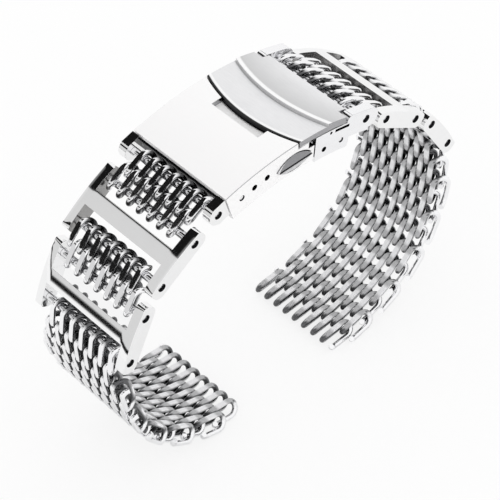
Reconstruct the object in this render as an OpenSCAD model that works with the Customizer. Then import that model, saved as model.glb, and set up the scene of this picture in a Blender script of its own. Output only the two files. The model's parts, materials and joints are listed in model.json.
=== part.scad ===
// Mesh watch band: a fold-over clasp with a safety flap and two push buttons, four H-shaped links,
// and rows of flattened wire loops that reach between one another and swing on the link pins.
// X runs across the band, +Y along the clasp towards the flap hinge, +Z up from the floor.

/* [Mesh wire] */
// Diameter of the mesh wire
wire_d = 0.95; // [0.85:0.01:0.96]
// Distance between neighbouring loops along a row
loop_pitch = 2.32; // [2.3:0.01:2.36]
// Radius of the half-turns at the ends of a loop
loop_r = 1.38; // [1.36:0.01:1.45]
// Straight length of each strand in a main row
strand_len = 2.65; // [2.4:0.05:3.2]
// Straight length of each strand in a row beside a link
short_strand_len = 2.18; // [2.1:0.02:2.6]
// Distance from the hinge line between two rows to the middle of their loops
loop_inset = 0.5; // [0.46:0.01:0.56]
// Depth ground off the outer side of the wire
face_grind = 0.41; // [0.3:0.01:0.45]
// Depth ground off the inner side of the wire
back_grind = 0.28; // [0.2:0.01:0.4]
// Loops in a main row
wide_loops = 9; // [8:1:9]
// Loops in a row that fits between a link's arms
narrow_loops = 7; // [5:1:7]

/* [Links] */
// Width of the links and of the clasp
link_w = 21; // [20.8:0.1:23]
// Length of a link over its rounded ends
link_len = 12.4; // [12:0.1:13]
// Thickness of a link
link_t = 3.3; // [3.1:0.05:3.8]
// Radius of a link's rounded edges, seen from the side
link_edge_r = 1.4; // [0.8:0.1:1.5]
// Thickness of a link's arms across the band
arm_w = 1.65; // [1.5:0.05:1.7]
// Length of the solid bar between a link's two notches
bar_len = 2.8; // [2.2:0.1:3.4]
// Distance from a link's end to its pin
pin_inset = 2.1; // [1.9:0.05:2.3]
// Radius of a link pin
pin_r = 0.7; // [0.5:0.02:0.7]
// Depth that the pin ends lie below the link's sides
pin_recess = 0.35; // [0.1:0.05:0.6]
// Distance from a pin to the middle of the loops that hang on it
pin_slack = 0.12; // [0.08:0.01:0.14]

/* [Clasp] */
// Radius of the clasp's arched top
clasp_r = 54; // [53:0.5:56]
// Height of the cover's side walls
cover_h = 5.3; // [5.2:0.05:5.4]
// Thickness of the cover's top
cover_top_t = 1.1; // [0.9:0.05:1.2]
// Thickness of the cover's side walls
cover_wall = 0.9; // [0.8:0.05:1]
// Thickness of the safety flap
flap_t = 1; // [0.9:0.05:1.1]
// Rise of the step across the flap
flap_step = 0.6; // [0.3:0.05:0.8]
// Radius of the arched front edge of the flap, seen from above
flap_bow_r = 27.7; // [24:0.1:40]
// Thickness of the two folding blades
blade_t = 0.75; // [0.6:0.05:0.8]
// Radius of the clasp's hinge pins
hinge_pin_r = 0.45; // [0.3:0.01:0.45]
// Radius of the hinge knuckles
knuckle_r = 0.85; // [0.75:0.01:0.88]
// Radius of the row of adjustment holes
adjust_hole_r = 0.5; // [0.46:0.01:0.55]
// Angle between neighbouring adjustment holes about the arch's axis
adjust_step = 2.96; // [2.6:0.02:3]
// Length of a push button
button_len = 7; // [6:0.1:7.2]
// Height of a push button
button_h = 3.1; // [2.6:0.1:3.2]
// Distance that a push button stands out from the cover
button_proud = 0.5; // [0.3:0.05:0.8]
// Travel of a push button
button_travel = 0.9; // [0.5:0.05:1]
// Wire diameter of a button spring
spring_wire_d = 0.22; // [0.15:0.01:0.24]

/* [Clearances] */
// Gap round moving shafts
shaft_gap = 0.05; // [0.03:0.01:0.08]
// Gap between plates that move past one another
plate_gap = 0.2; // [0.15:0.01:0.25]

/* [Hidden] */
$fn = 32;
ARC_FN = 360;
CUT = 1;

// Rest headings in degrees below level, from the clasp outwards
LEFT_HEADINGS = [30, 32, 34, 48, 57, 65, 82, 93, 100, 105, 110, 118, 128, 138, 147, 155, 164, 174];
RIGHT_HEADINGS = [32, 34, 32, 38, 48, 58, 75, 88, 96, 101, 107, 113, 121, 132, 143, 153, 160, 166, 175];
LEAD = ["pin_row", "pin_row_end", "link", "pin_row", "pin_row_end", "link", "first_row"];
FIRST_MAIN = 6;
LEFT_ROWS = len(LEFT_HEADINGS) - FIRST_MAIN;
RIGHT_ROWS = len(RIGHT_HEADINGS) - FIRST_MAIN;

// Rows of loops
half_wire = wire_d / 2;
row_top = loop_r + half_wire - face_grind;
row_bottom = -loop_r - half_wire + back_grind;
loop_reach = loop_r + half_wire - loop_inset;
web_t = 0.3;
web_rise = loop_r - half_wire + 0.1;
row_pitch = strand_len + 2 * loop_inset;
short_row = pin_slack + short_strand_len + loop_inset;
first_row = pin_slack + strand_len + loop_inset;

// Links
half_w = link_w / 2;
pin_span = link_len - 2 * pin_inset;
notch_half = half_w - arm_w;
notch_len = (link_len - bar_len) / 2;
pin_half = half_w - pin_recess;
pin_fit = 0.02;

// Clasp angles about the arch's axis, from the vertical towards +Y
cover_left = -15.2;
cover_right = 4.9;
housing_left = 5.15;
end_pin_phi = 17.5;
hinge_flap_phi = 13.5;
flap_wing_phi = 12;
catch_phi = 7.5;
rivet_phi = 11.8;
first_hole_phi = -12.2;
hinge_b_phi = -13.3;
hinge_a_phi = 2;
ear_from = -1.6;
ear_to = 3.3;

// Clasp radii about the same axis
pin_ring = clasp_r - 1.8;
wall_low = clasp_r - cover_h;
cover_under = clasp_r - cover_top_t;
flap_under = clasp_r - flap_t;
sill_top = flap_under - plate_gap;
sill_t = 0.8;
sill_low = sill_top - sill_t;
wall_step_ring = clasp_r - 2.4;
adjust_ring = clasp_r - 2.65;
button_ring = clasp_r - 3.35;
base_low = clasp_r - 5.8;
base_top = base_low + blade_t;
middle_low = base_top + plate_gap;
middle_top = middle_low + blade_t;
hinge_b_ring = base_top + plate_gap / 2;
hinge_a_ring = middle_low + knuckle_r + 0.25;
hinge_flap_ring = clasp_r - knuckle_r - 0.05;
catch_ring = clasp_r - 4.4;
rivet_ring = clasp_r - 4.15;
housing_low = clasp_r - 5.95;
housing_end_low = clasp_r - 4.1;
housing_top = sill_top;

// Clasp widths
cover_inner = half_w - cover_wall;
blade_half = 7.6;
knuckle_half = 3.9;
ear_in = 4.6;
ear_out = 5.6;
bow_front = -0.92;
bow_step = 5.25;
sill_left = -4.6;
sill_right = 2.9;
wall_step_phi = 3.5;
joint_bite = 0.2;
thumb_half = 5.2;
thumb_front = -2.7;
flap_hinge_half = notch_half - plate_gap;
mark_depth = 0.6;
mark_t = 0.5;
mark_ring = clasp_r - 1.75;
dot_r = 0.25;
end_round = 1.78;
end_arm_low = clasp_r - 3.7;
end_bar_low = adjust_ring - 1;
end_bar_top = adjust_ring + 1.25;
end_lug_low = adjust_ring - 0.8;
end_lug_top = adjust_ring + 1.05;

// Buttons
stem_r = 0.55;
flange_t = 0.7;
flange_rim = 0.35;
button_gap = 0.12;
flange_face = cover_inner - plate_gap / 2;
spring_turns = 4;
spring_mid_r = stem_r + 0.15 + spring_wire_d / 2;
jaw_out = 8.6;
jaw_in = 8;
jaw_from = 2;
jaw_to = 6.3;

// Whole band
function dir(side, h) = [0, side * cos(h), -sin(h)];
function on_arc(r, phi) = [0, r * sin(phi), r * cos(phi)];
function headings(side) = side < 0 ? LEFT_HEADINGS : RIGHT_HEADINGS;
function kind(i) = i < len(LEAD) ? LEAD[i] : "row";
function span(k) = k == "link" ? pin_span
  : k == "row" ? row_pitch
  : k == "first_row" ? first_row : short_row;
function joint_at(side, i) = i == 0 ? on_arc(pin_ring, side * end_pin_phi)
  : joint_at(side, i - 1) + span(kind(i - 1)) * dir(side, headings(side)[i - 1]);
function outer_corner(side, i, s) = joint_at(side, i)
  + s * dir(side, headings(side)[i]) + row_top * [0, side * sin(headings(side)[i]), cos(headings(side)[i])];
function corners(side) = [for (i = [FIRST_MAIN:len(headings(side)) - 1], e = [loop_inset, loop_inset + strand_len])
  outer_corner(side, i, e)];
floor_z = min([for (side = [-1, 1], c = corners(side)) c[2]]);
left_y = min([for (c = corners(-1)) c[1]]);
right_y = max([for (c = corners(1)) c[1]]);
rest_place = [0, -(left_y + right_y) / 2, -floor_z];

module placed() translate(rest_place) children();

// Stands a piece at joint i of one side, its y axis along the band and its z axis outwards
module on_band(side, i) placed() translate(joint_at(side, i)) rotate([0, 0, side < 0 ? 180 : 0])
  rotate([-headings(side)[i], 0, 0]) children();

// Side outline of a loop of wire: two strands and the half-turns between them
module loop_outline(first, length, r) {
  translate([first, -r]) square([length, 2 * r]);
  for (y = [first, first + length]) translate([y, 0]) circle(r);
}

module wire_loop(x, first, length) translate([x, 0, 0]) across(half_wire) difference() {
  intersection() {
    loop_outline(first, length, loop_r + half_wire);
    translate([first - 2 * loop_r, row_bottom]) square([length + 4 * loop_r, row_top - row_bottom]);
  }
  loop_outline(first, length, loop_r - half_wire);
}

// Loops side by side on one thin web, which lies midway between what fills their two ends
module loop_row(loops, shift, first, length, web_y) {
  x0 = shift - (loops - 1) / 2 * loop_pitch;
  for (k = [0:loops - 1]) wire_loop(x0 + k * loop_pitch, first, length);
  translate([x0, web_y - web_t / 2, -web_rise]) cube([(loops - 1) * loop_pitch, web_t, 2 * web_rise]);
}

module band_row(side, i) {
  narrow = i < FIRST_MAIN + 2;
  pin_first = kind(i) == "pin_row" || kind(i) == "first_row";
  short = kind(i) == "pin_row" || kind(i) == "pin_row_end";
  web_y = ((pin_first ? pin_r : loop_reach) + span(kind(i)) - (kind(i) == "pin_row_end" ? pin_r : loop_reach)) / 2;
  color("silver") on_band(side, i) loop_row(narrow ? narrow_loops : wide_loops,
    (i % 2 == 0 ? -1 : 1) * loop_pitch / 4, pin_first ? pin_slack : loop_inset,
    short ? short_strand_len : strand_len, web_y);
}

// Side outline of a link: a bar with four rounded edges, lying along y
module rounded_bar(length, t, r) {
  translate([r, -t / 2]) square([length - 2 * r, t]);
  translate([0, -t / 2 + r]) square([length, t - 2 * r]);
  for (y = [r, length - r], z = [-t / 2 + r, t / 2 - r]) translate([y, z]) circle(r);
}

// Extrudes a side outline drawn in (y, z) across the band
module across(half) rotate([90, 0, 90]) translate([0, 0, -half]) linear_extrude(2 * half) children();

module cross_hole(y, z, r, half) translate([-half, y, z]) rotate([0, 90, 0]) cylinder(r = r, h = 2 * half);

module h_link(side, i) color("gainsboro") on_band(side, i) difference() {
  across(half_w) translate([-pin_inset, 0]) rounded_bar(link_len, link_t, link_edge_r);
  translate([-notch_half, -pin_inset - CUT, -link_t]) cube([2 * notch_half, notch_len + CUT, 2 * link_t]);
  translate([-notch_half, link_len - pin_inset - notch_len, -link_t])
    cube([2 * notch_half, notch_len + CUT, 2 * link_t]);
  for (y = [0, pin_span]) cross_hole(y, 0, pin_r + pin_fit, half_w + CUT);
}

module link_pins(side, i) color("dimgray") on_band(side, i)
  for (y = [0, pin_span]) cross_hole(y, 0, pin_r, pin_half);

// Clasp helpers: a slice of a ring about the arch's axis, and a hole or pin across the clasp
module slice(r_in, r_out, from, to, x_in, x_out) rotate([90, 0, 90]) rotate([0, 0, 90 - to])
  rotate_extrude(angle = to - from, $fn = ARC_FN) translate([r_in, x_in]) square([r_out - r_in, x_out - x_in]);

// The same slice as a flat side outline, and a round one, for plates of more than one outline
module sector(r_in, r_out, from, to) intersection() {
  difference() {
    circle(r_out, $fn = ARC_FN);
    circle(r_in, $fn = ARC_FN);
  }
  polygon([[0, 0], 2 * r_out * [sin(from), cos(from)], 2 * r_out * [sin(to), cos(to)]]);
}

module round_end(r, phi, ring) translate(ring * [sin(phi), cos(phi)]) circle(r, $fn = 64);

// Extrudes a side outline from x_in to x_out
module plate(x_in, x_out) rotate([90, 0, 90]) translate([0, 0, x_in]) linear_extrude(x_out - x_in) children();

module both_sides() for (s = [0, 1]) mirror([s, 0, 0]) children();

module rod(r, phi, ring, x_in, x_out) translate(on_arc(ring, phi)) translate([x_in, 0, 0])
  rotate([0, 90, 0]) cylinder(r = r, h = x_out - x_in);

module bow(front, grow) translate([0, front + flap_bow_r, 0])
  cylinder(r = flap_bow_r + grow, h = clasp_r + 2 * CUT, $fn = ARC_FN);

// Outline of a push button: two arcs that meet at its ends
module almond(grow) {
  a = button_len / 2;
  b = button_h / 2;
  r = (a * a + b * b) / (2 * b);
  intersection() {
    translate([0, b - r]) circle(r + grow, $fn = 96);
    translate([0, r - b]) circle(r + grow, $fn = 96);
  }
}

module button_solid(grow, x_in, x_out) translate([x_in, 0, button_ring]) rotate([90, 0, 90])
  linear_extrude(x_out - x_in) almond(grow);

module cover_shell() difference() {
  slice(wall_low, clasp_r, cover_left, cover_right, -half_w, half_w);
  slice(wall_low - CUT, cover_under, cover_left - CUT, cover_right + CUT, -cover_inner, cover_inner);
}

// Room for the flap: everything above the sill behind the flap's arched front edge
module flap_room() intersection() {
  slice(sill_top, clasp_r + CUT, sill_left, cover_right + CUT, -half_w - CUT, half_w + CUT);
  bow(bow_front, plate_gap);
}

module cover_ear() difference() {
  slice(hinge_a_ring - knuckle_r, sill_low + sill_t / 2, ear_from, ear_to, ear_in, ear_out);
  rod(hinge_pin_r + pin_fit, hinge_a_phi, hinge_a_ring, 0, half_w);
  rod(stem_r + shaft_gap, 0, button_ring, 0, half_w);
}

module clasp_cover() color("whitesmoke") placed() difference() {
  union() {
    difference() {
      union() {
        cover_shell();
        slice(sill_low, cover_under + joint_bite, sill_left, sill_right,
          -cover_inner - joint_bite, cover_inner + joint_bite);
      }
      flap_room();
    }
    both_sides() cover_ear();
  }
  slice(sill_top + 0.3, clasp_r + CUT, atan(thumb_front / clasp_r), ear_to, -thumb_half, thumb_half);
  slice(wall_step_ring, clasp_r + CUT, wall_step_phi, cover_right + CUT, -half_w - CUT, half_w + CUT);
  for (k = [0:2]) rod(adjust_hole_r, first_hole_phi + k * adjust_step, adjust_ring, -half_w - CUT, half_w + CUT);
  both_sides() button_solid(button_gap, flange_face - flange_t - button_travel - plate_gap, half_w + CUT);
}

module cover_spring_bar() color("silver") placed()
  rod(adjust_hole_r - shaft_gap, first_hole_phi, adjust_ring, -half_w + 0.15, half_w - 0.15);

module end_link() color("gainsboro") placed() difference() {
  union() {
    slice(end_bar_low, end_bar_top, cover_left - 0.3, first_hole_phi + 1.5,
      -cover_inner + plate_gap, cover_inner - plate_gap);
    both_sides() {
      slice(end_lug_low, end_lug_top, cover_left - 1.3, cover_left + 0.6,
        notch_half + 0.05, cover_inner - plate_gap - 0.05);
      plate(notch_half, half_w) {
        sector(end_arm_low, clasp_r, -end_pin_phi - 0.6, cover_left - 0.25);
        round_end(end_round, -end_pin_phi, pin_ring);
      }
    }
  }
  rod(adjust_hole_r, first_hole_phi, adjust_ring, -half_w, half_w);
  rod(pin_r + pin_fit, -end_pin_phi, pin_ring, -half_w - CUT, half_w + CUT);
}

module end_pin(side) color("dimgray") placed() rod(pin_r, side * end_pin_phi, pin_ring, -pin_half, pin_half);

module push_button() {
  intersection() {
    button_solid(0, flange_face - flange_t / 2, half_w + button_proud);
    translate([0, button_len, button_ring]) rotate([90, 0, 0]) linear_extrude(2 * button_len)
      polygon([[0, -button_h], [half_w, -button_h / 2], [half_w + button_proud, 0], [half_w, button_h / 2],
        [0, button_h]]);
  }
  intersection() {
    button_solid(flange_rim, flange_face - flange_t, flange_face);
    slice(wall_low - CUT, sill_low - plate_gap / 2, -6, 6, 0, half_w);
  }
  rod(stem_r, 0, button_ring, ear_in + 0.3, flange_face - flange_t / 2);
  slice(button_ring - 0.2, button_ring + 0.5, jaw_from, jaw_from + 1.2, jaw_in + 0.1, flange_face - flange_t / 2);
  slice(button_ring - 0.3, button_ring + 0.6, jaw_from - 0.1, jaw_to, jaw_in, jaw_out);
}

module push_button_near() color("gray") placed() push_button();

module push_button_far() color("gray") placed() mirror([1, 0, 0]) push_button();

// One tube wound about the x axis, closed at both ends
module spring_coil(from, to) {
  sides = 6;
  per_turn = 12;
  n = spring_turns * per_turn;
  pts = [for (j = [0:n], s = [0:sides - 1])
    let (a = 360 * j / per_turn, c = 360 * s / sides, r = spring_mid_r + spring_wire_d / 2 * cos(c))
    [from + spring_wire_d + (to - from - 2 * spring_wire_d) * j / n + spring_wire_d / 2 * sin(c),
      r * cos(a), r * sin(a)]];
  faces = concat(
    [for (j = [0:n - 1], s = [0:sides - 1], h = [0, 1])
      let (a = j * sides + s, b = j * sides + (s + 1) % sides) h == 0 ? [a, b, b + sides] : [a, b + sides, a + sides]],
    [for (s = [1:sides - 2]) [0, s + 1, s]],
    [for (s = [1:sides - 2]) [n * sides, n * sides + s, n * sides + s + 1]]);
  translate([0, 0, button_ring]) polyhedron(pts, faces);
}

module button_spring() spring_coil(ear_out, flange_face - flange_t - button_travel);

module button_spring_near() color("silver") placed() button_spring();

module button_spring_far() color("silver") placed() rotate([0, 0, 180]) button_spring();

// The rear of the flap tilts up from its hinge to the step, and its corners leave room for the housing's ears
module safety_flap() color("lightgray") placed() {
  pivot = on_arc(clasp_r, hinge_flap_phi);
  tilt = atan(flap_step / norm(pivot - [0, bow_step, sqrt(clasp_r * clasp_r - bow_step * bow_step)]));
  difference() {
    union() {
      intersection() {
        plate(-half_w, half_w) {
          sector(flap_under, clasp_r, -4, hinge_flap_phi + 0.2);
          round_end(knuckle_r, hinge_flap_phi, hinge_flap_ring);
        }
        bow(bow_front, 0);
      }
      intersection() {
        translate(pivot) rotate([-tilt, 0, 0]) translate(-pivot)
          slice(flap_under - 0.3, clasp_r, -4, hinge_flap_phi + 0.1, -half_w, half_w);
        bow(bow_step, 0);
        slice(flap_under + 0.3, clasp_r + 2 * flap_step, -4, hinge_flap_phi - 0.1, -half_w + 0.01, half_w - 0.01);
      }
    }
    both_sides() slice(flap_under - 2 * CUT, clasp_r + CUT, flap_wing_phi, hinge_flap_phi + CUT,
      flap_hinge_half, half_w + CUT);
    rod(hinge_pin_r + shaft_gap, hinge_flap_phi, hinge_flap_ring, -half_w, half_w);
  }
}

module flap_pin() color("dimgray") placed()
  rod(hinge_pin_r, hinge_flap_phi, hinge_flap_ring, -half_w + mark_depth, half_w - mark_depth);

module clasp_housing() color("gainsboro") placed() difference() {
  union() {
    both_sides() plate(notch_half, half_w) {
      sector(housing_low, housing_top, housing_left, hinge_flap_phi + 0.3);
      sector(housing_end_low, clasp_r, hinge_flap_phi, end_pin_phi + 1.3);
      round_end(knuckle_r, hinge_flap_phi, hinge_flap_ring);
      round_end(end_round, end_pin_phi + 1, pin_ring);
    }
    slice(housing_low + 0.05, rivet_ring + 0.6, rivet_phi - 2.6, rivet_phi + 2.1, -notch_half - joint_bite,
      notch_half + joint_bite);
  }
  slice(base_low, base_top, housing_left - 1, rivet_phi + 1, -blade_half, blade_half);
  rod(hinge_pin_r + pin_fit, hinge_flap_phi, hinge_flap_ring, -half_w + mark_depth, half_w - mark_depth);
  rod(hinge_pin_r + pin_fit, catch_phi, catch_ring, -half_w - CUT, half_w + CUT);
  rod(hinge_pin_r + pin_fit, rivet_phi, rivet_ring, -half_w - CUT, half_w + CUT);
  rod(pin_r + pin_fit, end_pin_phi, pin_ring, -half_w - CUT, half_w + CUT);
  both_sides() {
    slice(mark_ring - mark_t / 2, mark_ring + mark_t / 2, 9.8, 13.2, half_w - mark_depth, half_w + CUT);
    rod(dot_r, 8.8, mark_ring, half_w - mark_depth, half_w + CUT);
  }
}

module catch_bar() color("dimgray") placed() rod(hinge_pin_r, catch_phi, catch_ring, -half_w + 0.9, half_w - 0.9);

module housing_rivet() color("silver") placed()
  rod(hinge_pin_r, rivet_phi, rivet_ring, -half_w + 0.15, half_w - 0.15);

module base_blade() color("lightgray") placed() difference() {
  union() {
    slice(base_low, base_top, hinge_b_phi, rivet_phi + 1, -blade_half, blade_half);
    rod(knuckle_r, hinge_b_phi, hinge_b_ring, -blade_half, blade_half);
  }
  slice(base_low - CUT, middle_top + CUT, hinge_b_phi - 2, hinge_b_phi + 1.6,
    -knuckle_half - plate_gap, knuckle_half + plate_gap);
  rod(hinge_pin_r + pin_fit, hinge_b_phi, hinge_b_ring, -half_w, half_w);
}

module middle_blade() color("lightgray") placed() difference() {
  union() {
    slice(middle_low, middle_top, hinge_b_phi + 1.5, ear_from - 0.4, -blade_half, blade_half);
    slice(middle_low, middle_top, hinge_b_phi, hinge_a_phi, -knuckle_half, knuckle_half);
    rod(knuckle_r, hinge_b_phi, hinge_b_ring, -knuckle_half, knuckle_half);
    rod(knuckle_r, hinge_a_phi, hinge_a_ring, -knuckle_half, knuckle_half);
  }
  rod(hinge_pin_r + shaft_gap, hinge_b_phi, hinge_b_ring, -half_w, half_w);
  rod(hinge_pin_r + shaft_gap, hinge_a_phi, hinge_a_ring, -half_w, half_w);
}

module hinge_pin_base() color("dimgray") placed()
  rod(hinge_pin_r, hinge_b_phi, hinge_b_ring, -blade_half, blade_half);

module hinge_pin_cover() color("dimgray") placed()
  rod(hinge_pin_r, hinge_a_phi, hinge_a_ring, -ear_out, ear_out);

clasp_cover();
safety_flap();
clasp_housing();
base_blade();
middle_blade();
hinge_pin_base();
hinge_pin_cover();
flap_pin();
catch_bar();
housing_rivet();
cover_spring_bar();
push_button_near();
push_button_far();
button_spring_near();
button_spring_far();
end_link();
end_pin(-1);  // left_end_pin
end_pin(1);  // right_end_pin
for (s = [["left", -1], ["right", 1]]) {
  for (n = [["inner", 2], ["outer", 5]]) {
    h_link(s[1], n[1]);
    link_pins(s[1], n[1]);
  }
  for (n = [["a1", 0], ["a2", 1], ["b1", 3], ["b2", 4]])
    band_row(s[1], n[1]);
  for (k = [1:len(headings(s[1])) - FIRST_MAIN])
    band_row(s[1], FIRST_MAIN + k - 1);
}
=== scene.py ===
"""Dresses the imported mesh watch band: wound wire rows, polished links and a satin clasp in a white studio."""

import json
import logging
import math
from collections.abc import Callable
from dataclasses import dataclass
from enum import Enum
from functools import cached_property

import bmesh
import bpy
from mathutils import Matrix, Vector


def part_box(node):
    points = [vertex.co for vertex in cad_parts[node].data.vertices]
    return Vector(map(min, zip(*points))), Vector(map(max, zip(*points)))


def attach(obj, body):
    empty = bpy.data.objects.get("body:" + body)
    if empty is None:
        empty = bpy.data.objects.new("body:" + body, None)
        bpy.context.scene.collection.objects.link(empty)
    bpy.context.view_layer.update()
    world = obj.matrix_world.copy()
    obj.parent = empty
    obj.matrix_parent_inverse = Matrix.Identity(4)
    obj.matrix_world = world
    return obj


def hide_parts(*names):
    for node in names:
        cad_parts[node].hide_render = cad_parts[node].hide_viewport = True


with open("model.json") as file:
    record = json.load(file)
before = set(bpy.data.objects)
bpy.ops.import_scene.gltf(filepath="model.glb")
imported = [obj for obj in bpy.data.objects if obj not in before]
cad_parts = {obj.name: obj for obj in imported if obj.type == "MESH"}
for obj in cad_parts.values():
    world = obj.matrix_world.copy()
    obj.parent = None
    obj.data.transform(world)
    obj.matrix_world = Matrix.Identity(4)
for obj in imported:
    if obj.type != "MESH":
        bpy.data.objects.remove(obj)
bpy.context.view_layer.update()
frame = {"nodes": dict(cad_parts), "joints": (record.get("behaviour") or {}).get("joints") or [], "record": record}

MM = 0.001
log = logging.getLogger("watch_band")

# Two faces that meet at a greater angle have an edge between them that is eased
SHARP_ANGLE = math.radians(28)

# Points of a finished shape that are nearer than this, in metres, are one point
TOUCHING = 1e-6

# How squarely a face looks across the band: from where it is an eased edge, a side, and a side's flat
EASED, SIDEWAYS, FLAT = 0.3, 0.9, 0.97

# A face of the clasp that looks less squarely away from its arch is a wall and not the top
WALL_SLOPE = 0.95

Colour = tuple[float, float, float]
Number = "Formula | float"
FaceTest = Callable[[Vector, Vector], bool]
Zone = tuple[str, FaceTest]


class Side(Enum):
    """The two halves of the band, by the sign of their direction along the clasp."""

    LEFT = -1
    RIGHT = 1

    @property
    def word(self) -> str:
        """The side's name as the nodes spell it."""
        return self.name.lower()


class Slot(Enum):
    """The record's material slots."""

    MESH = "mesh_steel"
    POLISHED = "polished_steel"
    SATIN = "satin_steel"
    BLADE = "blade_steel"
    PIN = "pin_steel"


class Formula:
    """A number in a node tree that is added, multiplied and compared as in plain code."""

    def __init__(self, tree: bpy.types.NodeTree, socket: bpy.types.NodeSocket) -> None:
        """Wraps one output socket of a node in the tree."""
        self.tree = tree
        self.socket = socket

    def math(self, operation: str, *others: Number, clamp: bool = False) -> "Formula":
        """Adds a Math node that starts from this number.

        Args:
            operation: The Math node's operation.
            others: The node's further inputs, as formulas or plain numbers.
            clamp: Whether the result is kept between 0 and 1.

        Returns:
            The node's result.
        """
        node = self.tree.nodes.new("ShaderNodeMath")
        node.operation = operation
        node.use_clamp = clamp
        for place, value in enumerate((self, *others)):
            if isinstance(value, Formula):
                self.tree.links.new(value.socket, node.inputs[place])
            else:
                node.inputs[place].default_value = value
        return Formula(self.tree, node.outputs[0])

    def __add__(self, other: Number) -> "Formula":
        """The sum."""
        return self.math("ADD", other)

    def __sub__(self, other: Number) -> "Formula":
        """The difference."""
        return self.math("SUBTRACT", other)

    def __mul__(self, other: Number) -> "Formula":
        """The product."""
        return self.math("MULTIPLY", other)

    def __truediv__(self, other: Number) -> "Formula":
        """The quotient."""
        return self.math("DIVIDE", other)

    def clamped(self) -> "Formula":
        """The number kept between 0 and 1."""
        return self.math("ADD", 0.0, clamp=True)

    def band(self, low: float, high: float, blur: float) -> "Formula":
        """1 between two limits and 0 outside them, with soft edges of the given width."""
        rise = ((self - low) / blur).math("ADD", 0.5, clamp=True)
        fall = ((self - high) / -blur).math("ADD", 0.5, clamp=True)
        return rise * fall

    def sin(self) -> "Formula":
        """The sine of an angle in radians."""
        return self.math("SINE")

    def cos(self) -> "Formula":
        """The cosine of an angle in radians."""
        return self.math("COSINE")


def coordinates(tree: bpy.types.NodeTree, kind: str) -> tuple[Formula, Formula, Formula]:
    """A point's place along X, Y and Z.

    Args:
        tree: The node tree.
        kind: The Texture Coordinate node's output.

    Returns:
        The three numbers.
    """
    place = tree.nodes.new("ShaderNodeTexCoord")
    parts = tree.nodes.new("ShaderNodeSeparateXYZ")
    tree.links.new(place.outputs[kind], parts.inputs[0])
    x, y, z = (Formula(tree, parts.outputs[label]) for label in "XYZ")
    return x, y, z


def stored_number(tree: bpy.types.NodeTree, name: str) -> Formula:
    """A number that the piece's mesh stores at its points."""
    node = tree.nodes.new("ShaderNodeAttribute")
    node.attribute_name = name
    return Formula(tree, node.outputs["Fac"])


def blend(factor: Formula, first: Colour | bpy.types.NodeSocket, second: Colour) -> bpy.types.NodeSocket:
    """Blends one colour towards another.

    Args:
        factor: How far, from 0 to 1.
        first: The colour at 0, or the socket that gives it.
        second: The colour at 1.

    Returns:
        The socket that gives the blend.
    """
    node = factor.tree.nodes.new("ShaderNodeMix")
    node.data_type = "RGBA"
    if isinstance(first, tuple):
        node.inputs["A"].default_value = (*first, 1.0)
    else:
        factor.tree.links.new(first, node.inputs["A"])
    node.inputs["B"].default_value = (*second, 1.0)
    factor.tree.links.new(factor.socket, node.inputs["Factor"])
    return node.outputs["Result"]


def add_object(name: str, data: bpy.types.ID) -> bpy.types.Object:
    """Adds an object with the given data to the scene."""
    added = bpy.data.objects.new(name, data)
    bpy.context.scene.collection.objects.link(added)
    return added


def apply_modifiers(piece: bpy.types.Object) -> None:
    """Turns a piece's modifiers into a plain mesh and removes them.

    Args:
        piece: The object with its live modifiers.
    """
    bpy.context.view_layer.update()
    evaluated = piece.evaluated_get(bpy.context.evaluated_depsgraph_get())
    mesh = bpy.data.meshes.new_from_object(evaluated)
    piece.modifiers.clear()
    old, piece.data = piece.data, mesh
    bpy.data.meshes.remove(old)
    mesh.name = piece.name


def place_piece(piece: bpy.types.Object, body: str, slot: Slot, *nodes: str) -> None:
    """Attaches a finished piece to its body and hides the CAD nodes that it stands for.

    Args:
        piece: The finished piece.
        body: The CAD body that it moves with.
        slot: The record's material slot. Not used.
        nodes: The CAD nodes that it replaces.
    """
    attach(piece, body)
    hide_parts(*nodes)
    log.info("%s rides on %s, %d faces", piece.name, body, len(piece.data.polygons))


def body_of(node: str) -> str:
    """The CAD body that holds a node."""
    bodies = frame["record"]["behaviour"]["bodies"]
    return next(body for body, nodes in bodies.items() if node in nodes)


def hinge_place(name: str) -> Vector:
    """Where a joint of the record stands at rest, in metres."""
    return Vector(next(j["pos_m"] for j in frame["joints"] if j["name"] == name))


def middle_of(node: str) -> Vector:
    """The middle of a node's box at rest, in metres."""
    low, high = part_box(node)
    return (low + high) / 2


def cut_faces(shape: bmesh.types.BMesh, point: Vector, normal: Vector) -> None:
    """Cuts a shape's faces along a plane and keeps both sides."""
    parts = shape.verts[:] + shape.edges[:] + shape.faces[:]
    bmesh.ops.bisect_plane(shape, geom=parts, dist=TOUCHING, plane_co=point, plane_no=normal)


def bore_walls(*bores: tuple[Vector, float]) -> FaceTest:
    """Chooses the walls of holes that run across the band.

    Args:
        bores: A point on each hole's axis in metres, with the radius in millimetres that holds its walls.

    Returns:
        A test of a face's middle and normal.
    """
    def test(middle: Vector, normal: Vector) -> bool:
        """Whether a face is a wall of one of the holes."""
        return abs(normal.x) < SIDEWAYS and any(
            math.hypot(middle.y - axis.y, middle.z - axis.z) < radius * MM for axis, radius in bores)
    return test


def edge_lines(middle: Vector, normal: Vector) -> bool:
    """Whether a face is part of an eased edge beside one of the band's sides."""
    return EASED < abs(normal.x) < FLAT


@dataclass(frozen=True)
class Bow:
    """A bowed line of the flap: an arc seen from above. Sizes are in millimetres."""

    radius: float
    centre: float

    def depth(self, middle: Vector) -> float:
        """How far a point in metres lies inside the arc."""
        return self.radius - math.hypot(middle.x / MM, middle.y / MM - self.centre)


FRONT_BOW = Bow(27.7, 25.71)
STEP_BOW = Bow(27.7, 31.88)


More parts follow.
